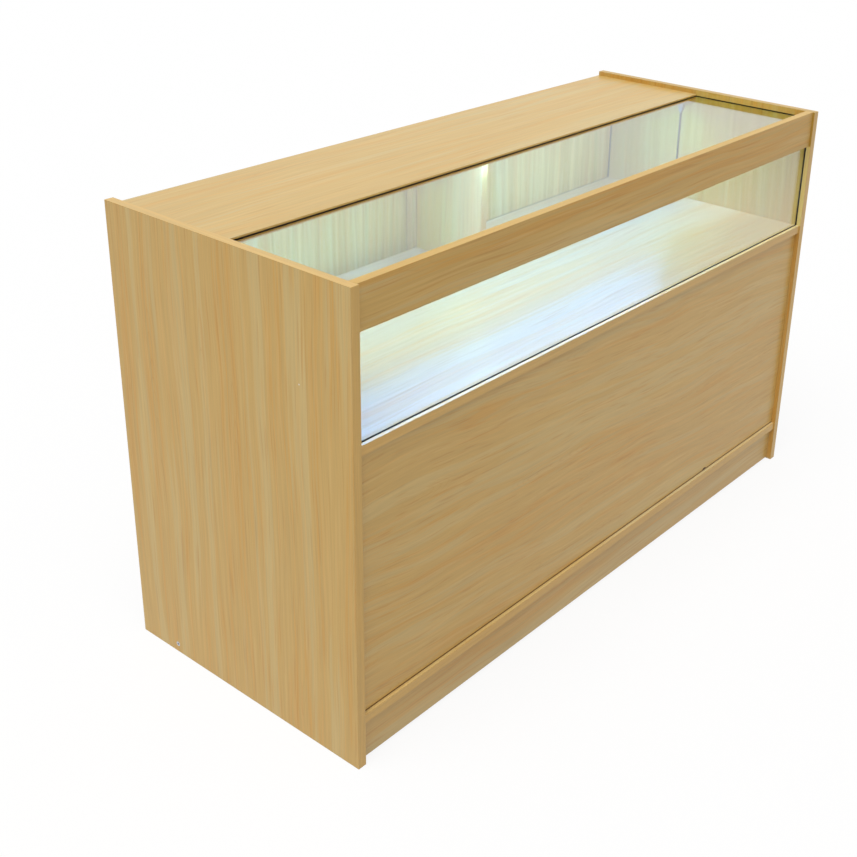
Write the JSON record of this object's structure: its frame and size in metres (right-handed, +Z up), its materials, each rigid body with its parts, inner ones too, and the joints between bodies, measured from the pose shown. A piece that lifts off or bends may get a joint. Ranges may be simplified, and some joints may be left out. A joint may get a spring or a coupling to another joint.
{
  "type": "glass display counter",
  "caption": "Shop counter with a lit glass display case above a storage cupboard, a solid rear top and sliding doors at the back.",
  "frame": {"origin": "bottom centre of the counter, on the floor under its middle", "axes": "+X to the right as a customer faces the counter, +Y from the customer's side to the assistant's side, +Z up"},
  "size_m": [1.5, 0.6, 0.9],
  "materials": {
    "maple_board": "satin maple-effect melamine on chipboard",
    "clear_glass": "polished float glass with ground edges",
    "steel": "zinc-plated steel",
    "zinc": "die-cast zinc",
    "aluminium": "satin anodised extrusion",
    "beech": "fluted beech dowel",
    "white_plastic": "matt moulded plastic",
    "grey_plastic": "matt moulded plastic",
    "black_plastic": "matt flexible cable sheath",
    "cap_plastic": "board-coloured moulded plastic",
    "black_rubber": "matt rubber",
    "opal_cover": "opal diffuser",
    "light_chip": "lit phosphor"
  },
  "bodies": {
    "cabinet": {"left_end_panel": "maple_board", "right_end_panel": "maple_board", "top_panel": "maple_board", "front_rail": "maple_board", "display_deck": "maple_board", "lower_front_panel": "maple_board", "bottom_board": "maple_board", "front_plinth": "maple_board", "rear_plinth": "maple_board", "display_partition": "maple_board", "storage_divider": "maple_board", "left_shelf": "maple_board", "right_shelf": "maple_board", "shelf_pins": "steel", "top_glass": "clear_glass", "front_glass": "clear_glass", "door_top_track": "aluminium", "door_bottom_track": "aluminium", "door_bumpers": "black_rubber", "track_screws": "steel", "led_channel": "aluminium", "led_board": "white_plastic", "led_chips": "light_chip", "led_diffuser": "opal_cover", "led_end_caps": "grey_plastic", "led_clips": "steel", "led_clip_screws": "steel", "led_connector": "grey_plastic", "led_lead": "black_plastic", "lead_clip": "white_plastic", "deck_grommet": "grey_plastic", "led_driver": "white_plastic", "driver_lid": "white_plastic", "driver_screws": "steel", "cam_locks": "zinc", "cam_bolts": "steel", "cam_caps": "cap_plastic", "dowels": "beech", "plinth_screws": "steel", "partition_screws": "steel", "divider_screws": "steel"},
    "left_door": {"left_sliding_door": "maple_board", "left_door_glides": "white_plastic", "left_door_pull": "zinc"},
    "right_door": {"right_sliding_door": "maple_board", "right_door_glides": "white_plastic", "right_door_pull": "zinc"}
  },
  "joints": [
    {"name": "left_door_slide", "type": "slide", "parent": "cabinet", "child": "left_door", "axis": [1, 0, 0], "range_m": [0, 0.7105]},
    {"name": "right_door_slide", "type": "slide", "parent": "cabinet", "child": "right_door", "axis": [1, 0, 0], "range_m": [-0.7105, 0]}
  ]
}
